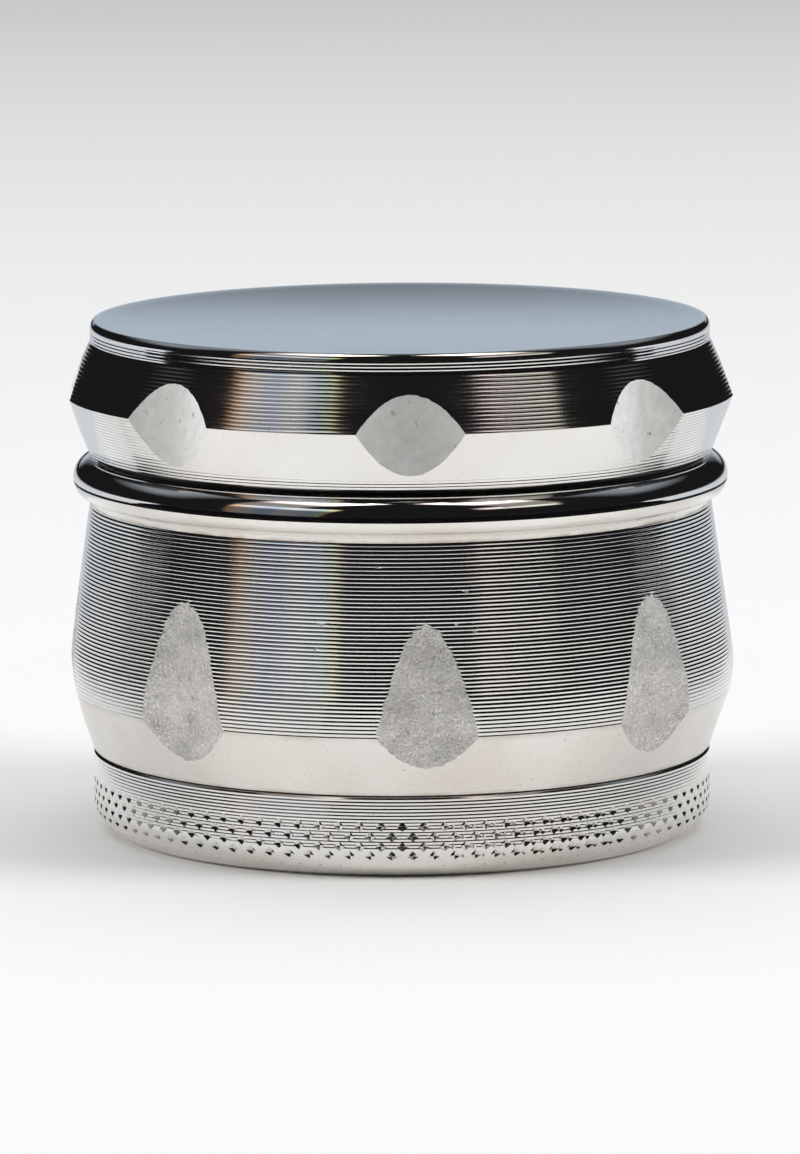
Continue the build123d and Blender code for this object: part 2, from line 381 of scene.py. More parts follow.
def brownBands(tree, coords, colour, settings):
    # browner, darker bands round the axis at the stated heights, by the seams and creases, broken up by
    # noise
    height = addNode(tree, "ShaderNodeSeparateXYZ", {0: coords}).outputs["Z"]
    patchy = noiseBand(tree, coords, 320, 3, 0.15, 1.0, 0.35, 0.65)
    for line, width, strength in settings["brownBands"]:
        away = calculate(tree, "ABSOLUTE", calculate(tree, "SUBTRACT", height, line * mm))
        share = calculate(tree, "MULTIPLY", remap(tree, away, 0, width * mm, strength, 0), patchy)
        colour = mixColour(tree, share, colour, settings["brownBandColour"])
    return colour


def metal(name, settings):
    # bright plated metal with fine marks round the axis, faint stains and tiny pits
    material, tree, shader = newMaterial(name)
    coords = objectCoords(tree)
    place = ringPlace(tree, coords)
    stain = noiseBand(tree, coords, settings["stainScale"], 5, 0, settings["stain"], 0.42, 0.72)
    pits = pitBand(tree, coords, settings["pitScale"], settings["pits"])
    colour = mixColour(tree, stain, settings["colour"], settings["stainColour"])
    colour = mixColour(tree, pits, colour, settings["pitColour"])
    smoothest, spread = settings["roughness"]
    streaks = noiseBand(tree, place, settings["streakScale"], 3, smoothest, smoothest + spread)
    lines = noiseBand(tree, place, settings["lineScale"], 2, 0, 1)
    dents = calculate(tree, "MULTIPLY_ADD", pits, -2.0, lines)
    tangent = addNode(tree, "ShaderNodeTangent", direction_type="RADIAL", axis="Z")
    shader.inputs["Metallic"].default_value = 1.0
    shader.inputs["Anisotropic"].default_value = settings["grain"]
    tree.links.new(tangent.outputs["Tangent"], shader.inputs["Tangent"])
    # the base colour turns browner and darker in bands at the stated seam and crease heights
    tree.links.new(brownBands(tree, coords, colour, settings), shader.inputs["Base Color"])
    tree.links.new(calculate(tree, "MULTIPLY_ADD", stain, 0.12, streaks), shader.inputs["Roughness"])
    tree.links.new(bumpOf(tree, dents, settings["bump"], settings["bumpDepth"]), shader.inputs["Normal"])
    return material


def castMetal(name, settings):
    # rough as-cast zinc: sandy grains, a few deeper pits, uneven grey
    material, tree, shader = newMaterial(name)
    coords = objectCoords(tree)
    grains = noiseBand(tree, coords, settings["grainScale"], 4, 0, 1, 0.35, 0.65)
    broad = noiseBand(tree, coords, settings["broadScale"], 3, 0, 1)
    pits = pitBand(tree, coords, settings["pitScale"], settings["pits"])
    relief = calculate(tree, "MULTIPLY_ADD", grains, 0.6, calculate(tree, "MULTIPLY", broad, 0.4))
    colour = mixColour(tree, relief, settings["dark"], settings["light"])
    colour = mixColour(tree, pits, colour, settings["pitColour"])
    rough = noiseBand(tree, coords, settings["broadScale"] * 3, 2, *settings["roughness"])
    dents = calculate(tree, "MULTIPLY_ADD", pits, -1.0, relief)
    shader.inputs["Metallic"].default_value = settings["metallic"]
    tree.links.new(colour, shader.inputs["Base Color"])
    tree.links.new(rough, shader.inputs["Roughness"])
    tree.links.new(bumpOf(tree, dents, settings["bump"], settings["bumpDepth"]), shader.inputs["Normal"])
    return material


def plastic(name, settings):
    material, tree, shader = newMaterial(name)
    coords = objectCoords(tree)
    shade = noiseBand(tree, coords, settings["scale"], 4, 0, 1)
    rough = noiseBand(tree, coords, settings["scale"] * 2, 3, *settings["roughness"])
    tree.links.new(mixColour(tree, shade, settings["dark"], settings["light"]), shader.inputs["Base Color"])
    tree.links.new(rough, shader.inputs["Roughness"])
    tree.links.new(bumpOf(tree, shade, 0.3, 0.01), shader.inputs["Normal"])
    return material


metalLook = {
    "colour": (0.86, 0.85, 0.83, 1), "stainColour": (0.74, 0.66, 0.56, 1),
    "pitColour": (0.12, 0.11, 0.10, 1), "stain": 0.30, "stainScale": 90, "pits": 0.25, "pitScale": 3600,
    "roughness": (0.055, 0.06), "grain": 0.3,  # roughness is the least and the spread
    "streakScale": 2200, "lineScale": 9000, "bump": 0.25, "bumpDepth": 0.004,
    # height, half width and strength of each browner, darker band
    "brownBands": ((level["drumTop"] - 1.95, 0.30, 0.8), (level["drum"], 0.35, 0.5),
              (level["drum"] + 5.5, 0.5, 0.25), (level["lid"], 0.5, 0.3)),
    "brownBandColour": (0.30, 0.22, 0.14, 1),
}
turnedChrome = metal("turnedChrome", metalLook)
plainChrome = metal("taperChrome", dict(
    metalLook, stain=0.50, roughness=(0.12, 0.14), pits=0.4, bump=0.45, colour=(0.87, 0.845, 0.81, 1)))
beadChrome = metal("beadChrome", dict(
    metalLook, stain=0.12, roughness=(0.035, 0.04), pits=0.12, bump=0.12, grain=0.1))
dishChrome = metal("dishChrome", dict(
    metalLook, stain=0.1, roughness=(0.07, 0.02), pits=0.0, bump=0.05, grain=0.1,
    colour=(0.80, 0.83, 0.86, 1)))
insideChrome = metal("insideChrome", dict(
    metalLook, stain=0.3, roughness=(0.26, 0.12), bump=0.4, grain=0.3))
nickel = metal("magnetNickel", dict(
    metalLook, colour=(0.72, 0.69, 0.64, 1), roughness=(0.12, 0.1), grain=0.0))
wireSteel = metal("wireSteel", dict(
    metalLook, colour=(0.56, 0.56, 0.55, 1), roughness=(0.28, 0.1), grain=0.0))
castLook = {
    "dark": (0.44, 0.43, 0.41, 1), "light": (0.96, 0.935, 0.90, 1), "metallic": 0.60, "grainScale": 4000,
    "broadScale": 380, "roughness": (0.22, 0.38), "bump": 1.0, "bumpDepth": 0.085,
    "pits": 0.5, "pitScale": 1500, "pitColour": (0.16, 0.15, 0.13, 1),
}
castRough = castMetal("castRough", castLook)
castFine = castMetal("castFine", dict(
    castLook, dark=(0.78, 0.775, 0.76, 1), light=(0.93, 0.92, 0.90, 1), metallic=0.45, grainScale=1200,
    bump=0.5, bumpDepth=0.03, roughness=(0.28, 0.42), pits=0.5, pitScale=1100))
nylon = plastic("blackNylon", {
    "dark": (0.012, 0.012, 0.012, 1), "light": (0.03, 0.03, 0.03, 1), "scale": 900,
    "roughness": (0.35, 0.5)})
rubber = plastic("blackRubber", {
    "dark": (0.010, 0.010, 0.010, 1), "light": (0.022, 0.021, 0.020, 1), "scale": 1400,
    "roughness": (0.5, 0.7)})
print("materials made")


def threadRidge(wall, side, bottom, top):
    # a helical ridge that climbs with the turn, buried a little in the wall that carries it
    root = wall - side * thread["sunk"]
    tip = wall + side * thread["height"]
    half, slim = thread["root"] / 2, thread["tip"] / 2
    points = [(root, bottom - half), (tip, bottom - slim), (tip, bottom + slim), (root, bottom + half)]
    piece = drawOutline("threadRidge", points + points[:1])
    leaveEdit()
    turns = (top - bottom) / thread["pitch"]
    screw = piece.modifiers.new("screw", "SCREW")
    screw.angle = 2 * pi * turns
    screw.screw_offset = (top - bottom) * mm
    screw.iterations = 1
    screw.steps = screw.render_steps = round(120 * turns)
    screw.use_merge_vertices = False
    work(piece)
    bpy.ops.object.modifier_apply(modifier="screw")
    editAll()
    bpy.ops.mesh.fill_holes(sides=4)
    agreeNormals()
    leaveEdit()
    return piece


def maleThread(wall, top):
    return threadRidge(wall, 1, top - thread["length"] + thread["root"], top - thread["root"])


def femaleThread(wall, top):
    bottom = top - thread["length"] + thread["root"] + thread["pitch"] / 2
    return threadRidge(wall, -1, bottom, top - thread["washer"] - thread["root"])


def leanAt(shape, height):
    # how much deeper than the plain round cutter the flute goes at that height, in millimetres
    steps = shape["fluteLean"]
    for (z0, shift0), (z1, shift1) in zip(steps, steps[1:]):
        if z0 <= height <= z1:
            return shift0 + (shift1 - shift0) * (height - z0) / (z1 - z0)
    return steps[0][1] if height < steps[0][0] else steps[-1][1]


def fluteCutter(wall, shape, bottom, top, extra):
    # one upright round cutter, trimmed to the part that cuts, leaned row by row and made uneven
    centre = wall - shape["fluteDepth"] - extra + shape["fluteRadius"]
    bpy.ops.mesh.primitive_cylinder_add(
        vertices=flutes["columns"], radius=shape["fluteRadius"] * mm, depth=(top - bottom) * mm,
        location=(0, -centre * mm, (top + bottom) / 2 * mm),
    )
    cutter = bpy.context.object
    settle(cutter)
    editAll()
    outside = -(wall + flutes["beyond"]) * mm
    bpy.ops.mesh.bisect(plane_co=(0, outside, 0), plane_no=(0, -1, 0), clear_outer=True)
    leaveEdit()
    pick(cutter, "EDGE", lambda wire: abs(ends(cutter, wire)[0].z - ends(cutter, wire)[1].z) > mm)
    bpy.ops.mesh.subdivide(number_cuts=round((top - bottom) / flutes["rowHeight"]))
    bpy.ops.mesh.select_all(action="DESELECT")
    bpy.ops.mesh.select_non_manifold()
    bpy.ops.mesh.edge_face_add()
    leaveEdit()
    inner = -(wall + flutes["lip"]) * mm
    if shape["fluteLean"]:
        rows = sorted({round(corner.co.z / mm, 3) for corner in cutter.data.vertices})
        for z in rows:
            pick(cutter, "VERT", lambda corner: corner.co.y > inner and abs(corner.co.z / mm - z) < 0.01)
            bpy.ops.transform.translate(value=(0, leanAt(shape, z - bottom) * mm, 0))
            leaveEdit()
    pick(cutter, "VERT", lambda corner: corner.co.y > inner)
    roughness = shape["fluteRough"] * mm
    bpy.ops.transform.vertex_random(offset=roughness, uniform=0, normal=1, seed=shape["fluteSeed"])
    bpy.ops.mesh.vertices_smooth(factor=0.5, repeat=shape["fluteSmooth"])
    leaveEdit()
    faceOutward(cutter)
    return cutter


def fluteCutters(wall, shape, bottom, top, material):
    # the flutes that face the four sides, and the slightly deeper ones between them
    sides = fluteCutter(wall, shape, bottom, top, 0)
    between = fluteCutter(wall, shape, bottom, top, shape["fluteDeeper"])
    swing(between, 360 / flutes["count"])
    cutters = joinInto(sides, [between])
    copyRound(cutters, flutes["count"] // 2)
    swing(cutters, shape["fluteTurn"])
    dress(cutters, material)
    return cutters


def nickCutter(wall, turnAngle, height, size):
    # a small uneven dent, where the mould left a blister
    bpy.ops.mesh.primitive_ico_sphere_add(
        subdivisions=2, radius=size * mm, scale=(1, 1, 0.7),
        location=(0, -(wall + size / 4) * mm, height * mm),
    )
    nick = bpy.context.object
    settle(nick)
    editAll()
    bpy.ops.transform.vertex_random(offset=size / 3 * mm, uniform=0, normal=1, seed=int(height * 10))
    leaveEdit()
    faceOutward(nick)
    swing(nick, turnAngle)
    return nick


cup = {
    "corner": 2.9, "recess": 0.3, "footRing": 3.0, "floor": 1.6, "bowlIn": 0.65, "bowlCorner": 2.0,
    "endRoom": 0.5, "steps": 285,
    # the turned lines: where they run, their spacing, and their first and last depth
    "pitLines": (2.95, 5.62, 0.31, 0.022, 0.022), "wallLines": (5.62, 7.5, 0.30, 0.03, 0.04),
    "plainUnder": 1.9, "plainFrom": 4,
    # pit, dot and doubled pit: wide, tall and deep
    "rows": (5.0, 4.07, 3.14, 2.21), "pits": 95, "pit": (0.56, 0.46, 0.36),
    "dotRow": 1.3, "dot": (0.17, 0.15, 0.07),
    # a second, shallower strike of the knurl tool just right of the first, over part of the front
    "doubles": ((0.80, (0.24, 0.26, 0.16), 2, 5), (0.74, (0.34, 0.34, 0.22), 6, 10)), "doubleDrop": 0.08,
}


def socketMouth(which, top):
    # chamfered mouth of a threaded socket
    return [(socket[which] + mouthBevel, top), (socket[which], top - mouthBevel)]


def makeCup():
    bottomRadius = waist - cup["corner"]
    ledge = level["drum"] - thread["length"] - cup["endRoom"]
    bowl = socket["lower"] - cup["bowlIn"]
    inner = bowl - cup["bowlCorner"]
    top = low("lower_washer")
    footIn = bottomRadius - cup["footRing"]
    points = [(0, cup["recess"]), (footIn, cup["recess"]), (footIn, 0)]
    points += arc((bottomRadius, cup["corner"]), cup["corner"], -90, 0, 10)
    start, stop, *lines = cup["pitLines"]
    points += grooved([(waist, start), (waist, stop)], *lines)
    start, stop, *lines = cup["wallLines"]
    points += grooved([(waist, start), (waist, stop)], *lines)[1:]
    points += [(waist - bevel, top)] + socketMouth("lower", top)
    points += [(socket["lower"], ledge), (bowl, ledge)]
    points += arc((inner, cup["floor"] + cup["bowlCorner"]), cup["bowlCorner"], 0, -90, 8)
    points += [(0, cup["floor"])]
    piece = turn("catcherCup", points, cup["steps"])
    combine(piece, femaleThread(socket["lower"], level["drum"]), "UNION")
    combine(piece, knurlPits(), "DIFFERENCE")
    dress(piece, turnedChrome, insideChrome, plainChrome)
    paint(piece, 1, lambda place: radiusOf(place) < socket["lower"] + near and place.z > 1)
    plainFrom = bottomRadius - cup["plainFrom"]
    paint(piece, 2, lambda place: place.z < cup["plainUnder"] and radiusOf(place) > plainFrom)
    finishPiece(piece, "catcher_body", "catcher")


def cupRadius(height):
    # outside of the cup at that height, on its wall or its rounded corner
    below = max(cup["corner"] - height, 0)
    return waist - cup["corner"] + sqrt(cup["corner"] ** 2 - below ** 2)


def pitRow(height, shape, turnAngle, first=0, last=None):
    # one little four-sided pit, point inwards, then spun into a row or part of one
    wide, tall, deep = shape
    bpy.ops.mesh.primitive_cone_add(
        vertices=4, radius1=2 * wide * mm, radius2=0, depth=2 * deep * mm,
        location=(cupRadius(height) * mm, 0, height * mm), rotation=(0, -pi / 2, 0),
        scale=(tall / wide, 1, 1),
    )
    row = bpy.context.object
    step = 360 / cup["pits"]
    if last is None:
        copyRound(row, cup["pits"])
    else:
        settle(row)
        editAll()
        bpy.ops.mesh.spin(steps=last - first, dupli=True, angle=-radians(step * (last - first)),
                          center=(0, 0, 0), axis=(0, 0, 1))
        leaveEdit()
    swing(row, turnAngle + step * first)
    return row


def knurlPits():
    step = 360 / cup["pits"]
    made = []
    for k, height in enumerate(cup["rows"]):
        turnAngle = -90 + step * (k % 2) / 2
        made.append(pitRow(height, cup["pit"], turnAngle))
        for shift, shape, first, last in cup["doubles"]:
            beside = degrees(shift / waist)
            made.append(pitRow(height - cup["doubleDrop"], shape, turnAngle + beside, first, last))
    made.append(pitRow(cup["dotRow"], cup["dot"], -90))
    return joinInto(made[0], made[1:])


makeCup()


drum = {
    "bellyOut": 2.2, "bellyRise": 7.7, "bellyRound": 2.0, "bellyFall": (0.2, 0.14), "bellySteps": 12,
    "taper": 5.6, "taperLines": (0.34, 0.008, 0.008), "flankLines": (0.366, 0.044, 0.044), "flankOut": 0.1,
    "coveDrop": 1.95, "coveMid": (1 / 3, 0.6), "spigotWall": 1.6, "endRoom": 0.5,
    "fluteRadius": 16.0, "fluteDepth": 1.1, "fluteTurn": 4.3, "fluteRough": 0.065, "fluteSmooth": 1,
    "fluteSeed": 3, "fluteDeeper": 0.16,
    "fluteLean": ((5.6, 0.15), (7.7, -0.23), (9.7, -0.30), (13.1, -0.15), (15.4, -0.05)),
    # turn from the front, height above the drum's foot and size of each small dent
    "nicks": ((-4.1, 21.1, 0.15), (11.3, 18.8, 0.20), (9.5, 15.9, 0.18), (12.7, 15.2, 0.20),
              (-13.6, 15.9, 0.16), (-14.8, 13.6, 0.14), (53.0, 19.5, 0.16)),
    "clipGroove": 0.4, "clipRoom": 0.05,
}


def makeDrum():
    bellyRadius = waist + drum["bellyOut"]
    belly = level["drum"] + drum["bellyRise"]
    taperTop = (bellyRadius - drum["bellyFall"][0], level["drum"] + drum["taper"])
    flankStart = (bellyRadius - drum["bellyFall"][1], belly + drum["bellyRound"])
    flankTop = (waist + drum["flankOut"], level["drumTop"] - drum["coveDrop"])
    seamAngle = asin((bead["z"] - level["drumTop"]) / bead["radius"])
    lip = (bead["mid"] + bead["radius"] * cos(pi / 4), bead["z"] - bead["radius"] * sin(pi / 4))
    across, up = drum["coveMid"]
    hollow = (flankTop[0] + (lip[0] - flankTop[0]) * across, flankTop[1] + (lip[1] - flankTop[1]) * up)
    bellyArc = arcThrough(taperTop, (bellyRadius, belly), flankStart, drum["bellySteps"])
    spigot = core["lower"] - drum["spigotWall"]
    spigotEnd = level["drum"] - thread["length"]
    bite = core["lower"] + drum["clipGroove"]
    clipFoot = level["clip"] - drum["clipRoom"]
    clipRoof = high("screen_clip") + drum["clipRoom"]
    socketFoot = level["drumTop"] - thread["length"] - drum["endRoom"]
    points = grooved([(waist, level["drum"]), taperTop], *drum["taperLines"])
    points += grooved(bellyArc + [flankTop], *drum["flankLines"])[1:]
    points += arcThrough(flankTop, hollow, lip, 8)[1:]
    points += arc((bead["mid"], bead["z"]), bead["radius"], -45, -degrees(seamAngle), 6)[1:]
    points += socketMouth("upper", level["drumTop"])
    points += [(socket["upper"], socketFoot), (core["lower"], socketFoot), (core["lower"], clipRoof)]
    inside, seat = core["lower"], level["screen"]
    points += [(bite, clipRoof), (bite, clipFoot), (inside, clipFoot), (inside, seat), (spigot, seat)]
    points += [(spigot, spigotEnd), (inside - bevel, spigotEnd), (inside, spigotEnd + bevel)]
    points += [(inside, level["drum"]), (waist, level["drum"])]
    piece = turn("storageDrum", points, roundSteps)
    combine(piece, femaleThread(socket["upper"], level["chamber"]), "UNION")
    combine(piece, maleThread(core["lower"], level["drum"]), "UNION")
    dress(piece, turnedChrome, insideChrome, plainChrome)
    skin = socket["upper"] + near
    paint(piece, 1, lambda place: radiusOf(place) < skin)
    paint(piece, 2, lambda place: radiusOf(place) > skin and not taperTop[1] <= place.z <= flankTop[1])
    cutters = fluteCutters(bellyRadius, drum, level["drum"], flankTop[1], castRough)
    slope = (flankTop[0] - flankStart[0]) / (flankTop[1] - flankStart[1])
    nicks = []
    for turnAngle, rise, size in drum["nicks"]:
        height = level["drum"] + rise
        nick = nickCutter(flankStart[0] + slope * (height - flankStart[1]), turnAngle, height, size)
        dress(nick, castRough)
        nicks.append(nick)
    combine(piece, joinInto(cutters, nicks), "DIFFERENCE", transfer=True)
    finishPiece(piece, "drum_body", "drum")


makeDrum()


# the screen pack: woven screen, hoop and spring clip
screen = {
    "radius": reach("screen_mesh"), "thick": high("screen_mesh") - low("screen_mesh"), "spacing": 0.62,
    "wire": 0.10, "hoopWidth": 1.0, "hoopRound": 0.12, "clipWire": 0.8, "clipSides": 20, "mouth": 24,
}


def makeScreen():
    # one crimped wire, repeated both ways and trimmed round
    lines = int(2 * screen["radius"] / screen["spacing"]) // 2 * 2
    half = screen["wire"] / 2
    lift = screen["thick"] / 2 - half
    span = lines * screen["spacing"]
    made = []
    for crossing in (0, 1):
        corner = -span / 2 * mm
        bpy.ops.mesh.primitive_plane_add(
            size=screen["wire"] * mm, rotation=(0, pi / 2, 0), location=(corner, corner, 0),
        )
        wire = bpy.context.object
        settle(wire)
        editAll()
        side = 1 if crossing else -1
        bpy.ops.transform.translate(value=(0, 0, side * lift * mm))
        for k in range(lines):
            side = -side
            step = (screen["spacing"] * mm, 0, 2 * side * lift * mm)
            bpy.ops.mesh.extrude_region_move(TRANSFORM_OT_translate={"value": step})
        agreeNormals()
        leaveEdit()
        for parity in (0, 1):
            row = wire.copy()
            row.data = wire.data.copy()
            bpy.context.collection.objects.link(row)
            work(row)
            if parity:
                bpy.ops.object.mode_set(mode="EDIT")
                bpy.ops.mesh.select_all(action="SELECT")
                bpy.ops.transform.resize(value=(1, 1, -1))
                bpy.ops.transform.translate(value=(0, screen["spacing"] * mm, 0))
                bpy.ops.mesh.normals_make_consistent(inside=False)
                leaveEdit()
            rows = row.modifiers.new("rows", "ARRAY")
            rows.use_relative_offset = False
            rows.use_constant_offset = True
            rows.constant_offset_displace = (0, 2 * screen["spacing"] * mm, 0)
            rows.count = lines // 2
            bpy.ops.object.modifier_apply(modifier="rows")
            if crossing:
                swing(row, 90)
            made.append(row)
        bpy.data.objects.remove(wire)
    weave = joinInto(made[0], made[1:])
    weave.name = "wovenScreen"
    middle = (level["screen"] + screen["thick"] / 2) * mm
    editAll()
    bpy.ops.transform.translate(value=(0, 0, middle))
    leaveEdit()
    bpy.ops.mesh.primitive_cylinder_add(
        vertices=128, radius=screen["radius"] * mm, depth=mm, location=(0, 0, middle),
    )
    trim = bpy.context.object
    combine(weave, trim, "INTERSECT")
    dress(weave, wireSteel)
    finishPiece(weave, "drum_body", "screen_mesh", angle=35)


def roundedRing(name, inner, outer, bottom, top, rounding, steps=160):
    left, right = inner + rounding, outer - rounding
    under, over = bottom + rounding, top - rounding
    points = [(left, bottom), (right, bottom), (outer, under), (outer, over)]
    points += [(right, top), (left, top), (inner, over), (inner, under), (left, bottom)]
    return turn(name, points, steps)


def makeHoop():
    hoop = roundedRing("screenHoop", screen["radius"] - screen["hoopWidth"], screen["radius"],
                       low("screen_hoop"), high("screen_hoop"), screen["hoopRound"])
    dress(hoop, wireSteel)
    finishPiece(hoop, "drum_body", "screen_hoop")


def makeClip():
    # round spring wire, bent into an open ring
    outer = core["lower"] + drum["clipGroove"] - drum["clipRoom"]
    radius = screen["clipWire"] / 2
    bpy.ops.mesh.primitive_circle_add(
        vertices=screen["clipSides"], radius=radius * mm, rotation=(pi / 2, 0, 0),
        location=((outer - radius) * mm, 0, (low("screen_clip") + radius) * mm),
    )
    clip = bpy.context.object
    clip.name = "screenClip"
    settle(clip)
    editAll()
    bpy.ops.mesh.spin(steps=150, angle=radians(360 - screen["mouth"]), center=(0, 0, 0), axis=(0, 0, 1))
    bpy.ops.mesh.select_all(action="SELECT")
    bpy.ops.mesh.fill_holes(sides=screen["clipSides"])
    agreeNormals()
    leaveEdit()
    swing(clip, -screen["mouth"] / 2)
    dress(clip, wireSteel)
    finishPiece(clip, "drum_body", "screen_clip", angle=40)


makeScreen()
makeHoop()
makeClip()


washerRound = 0.05


def makeWashers():
    # the washers that each screwed joint closes on
    for name, which in (("lowerWasher", "lower"), ("upperWasher", "upper")):
        node = which + "_washer"
        inner = socket[which] + mouthBevel
        washer = roundedRing(name, inner, reach(node), low(node), high(node), washerRound, roundSteps)
        dress(washer, rubber)
        finishPiece(washer, node + "_body", node)


glide = {"room": 0.3, "wall": 0.55, "edge": 0.1}


def makeGlideRing():
    inner = neck["outside"] + glide["room"]
    rise = inner + glide["wall"]
    outer = reach("glide_ring")
    foot, top, edge = level["shoulder"], high("glide_ring"), glide["edge"]
    points = [(inner, foot), (outer - edge, foot), (outer, foot + edge), (outer, level["lid"])]
    points += [(rise, level["lid"]), (rise, top - edge), (rise - edge, top), (inner, top), (inner, foot)]
    piece = turn("glideRing", points, roundSteps)
    dress(piece, nylon)
    finishPiece(piece, "glide_ring_body", "glide_ring")


def makeMagnets():
    edge = 0.2
    for which in ("chamber", "lid"):
        node = which + "_magnet"
        bottom, top = low(node), high(node)
        points = [(0, bottom), (magnetRadius - edge, bottom), (magnetRadius, bottom + edge)]
        points += [(magnetRadius, top - edge), (magnetRadius - edge, top), (0, top)]
        magnet = turn(which + "Magnet", points, 64)
        dress(magnet, nickel)
        finishPiece(magnet, which + "_body", node)


makeWashers()
makeGlideRing()
makeMagnets()


# count and turn of each ring of teeth, from the middle outwards
teeth = {
    "post": 5.2, "rings": 5, "gap": 0.7, "halfWidth": 1.5, "endGap": 0.8, "taper": 3.0, "sunk": 0.25,
    "edge": 0.12,
    "lid": ((6, 10.0), (9, 25.0), (14, 5.0)), "chamber": ((7, 0.0), (11, 16.4)),
    "holes": (6, 12, 20), "holeGap": 0.15, "cornerRound": 0.3,
}
teeth["step"] = (neck["inside"] - teeth["post"] - teeth["gap"]) / teeth["rings"]
teeth["halfLength"] = (teeth["step"] - teeth["gap"]) / 2
magnetFit = magnetRadius + 0.02


def ringRadius(place):
    return teeth["post"] + teeth["gap"] + teeth["step"] * (place + 0.5)


def toothRing(place, count, turnAngle, foot, upward):
    height = ceiling - floorTop - teeth["endGap"] + teeth["sunk"]
    long = teeth["halfLength"]
    slim = height * tan(radians(teeth["taper"])) * sqrt(2)
    side = 1 if upward else -1
    bpy.ops.mesh.primitive_cone_add(
        vertices=4, radius1=long * mm, radius2=(long - slim) * mm, depth=height * mm,
        location=(ringRadius(place) * mm, 0, (foot + side * height / 2) * mm),
        rotation=(0 if upward else pi, 0, 0), scale=(1, teeth["halfWidth"] / long, 1),
    )
    ring = bpy.context.object
    settle(ring)
    editAll()
    bpy.ops.mesh.bevel(offset=teeth["edge"] * mm, segments=2, affect="EDGES")
    leaveEdit()
    copyRound(ring, count)
    swing(ring, turnAngle)
    return ring


chamber = {"skirtWall": 1.5, "neckDrop": 1.3, "neckLines": (0.6, 0.01, 0.01), "seamEdge": (0.05, 0.04),
           "beadSteps": 26, "drillDepth": 6, "dullIn": 0.6}


def makeChamber():
    seam = bead["mid"] + sqrt(bead["radius"] ** 2 - bead["rise"] ** 2)
    edgeIn, edgeUp = chamber["seamEdge"]
    foot, shoulder = level["chamber"], level["shoulder"]
    outside, inside = neck["outside"], neck["inside"]
    neckTop = ceiling - chamber["neckDrop"]
    skirtEnd = foot - thread["length"]
    skirtOut = core["upper"]
    skirtIn = skirtOut - chamber["skirtWall"]
    post, postTop, corner = teeth["post"], level["post"], teeth["cornerRound"]
    magnetFoot = low("chamber_magnet")
    points = [(0, foot), (skirtIn, foot), (skirtIn, skirtEnd), (skirtOut - bevel, skirtEnd)]
    points += [(skirtOut, skirtEnd + bevel), (skirtOut, foot), (seam - edgeIn, foot), (seam, foot + edgeUp)]
    points += arc((bead["mid"], bead["z"]), bead["radius"], 0, 90, chamber["beadSteps"])
    points += [(outside, shoulder)]
    points += grooved([(outside, shoulder), (outside, neckTop - 2 * bevel)], *chamber["neckLines"])[1:]
    points += [(outside - 2 * bevel, neckTop), (inside + bevel, neckTop), (inside, neckTop - bevel)]
    points += [(inside, floorTop + corner), (inside - corner, floorTop), (post + corner, floorTop)]
    points += [(post, floorTop + corner), (post, postTop - bevel), (post - bevel, postTop)]
    points += [(magnetFit, postTop), (magnetFit, magnetFoot), (0, magnetFoot)]
    piece = turn("grindingChamber", points, roundSteps)
    holeRadius = teeth["halfLength"] - teeth["holeGap"]
    drills = []
    for k, count in enumerate(teeth["holes"]):
        bpy.ops.mesh.primitive_cylinder_add(
            vertices=28, radius=holeRadius * mm, depth=chamber["drillDepth"] * mm,
            location=(ringRadius(2 * k) * mm, 0, (foot + floorTop) / 2 * mm),
        )
        drill = bpy.context.object
        copyRound(drill, count)
        swing(drill, 180 / count)
        drills.append(drill)
    combine(piece, joinInto(drills[0], drills[1:]), "DIFFERENCE")
    rings = [toothRing(2 * k + 1, count, angle, floorTop - teeth["sunk"], True)
             for k, (count, angle) in enumerate(teeth["chamber"])]
    combine(piece, joinInto(rings[0], rings[1:]), "UNION")
    combine(piece, maleThread(core["upper"], level["chamber"]), "UNION")
    dress(piece, beadChrome, insideChrome)
    paint(piece, 1, lambda place: radiusOf(place) < outside + chamber["dullIn"])
    finishPiece(piece, "chamber_body", "grinding_chamber", "chamber_teeth")


makeChamber()


lid = {
    "ridgeOut": 2.25, "footOut": 0.2, "taper": 5.42, "flare": 5.14, "rimIn": 0.05, "edge": 0.4,
    "softEdge": 0.72, "softTurn": 52, "cornerRound": 0.12, "dish": 0.35, "rimStep": 0.12, "rimTop": 0.1,
    # spacing, first and last depth of the turned lines
    "taperLines": (0.31, 0.022, 0.012), "flareLines": (0.37, 0.016, 0.016), "rimLines": (0.36, 0.03, 0.03),
    "rebateRoom": 0.05, "magnetDeep": 2, "cornerRoom": 0.3, "insideDrop": 1.5,
    "fluteRadius": 11.4, "fluteDepth": 1.55, "fluteTurn": 1.7, "fluteRough": 0.05, "fluteSmooth": 3,
    "fluteSeed": 7, "fluteDeeper": 0.05, "fluteLean": (), "fluteBelow": 1, "steps": 256,
}


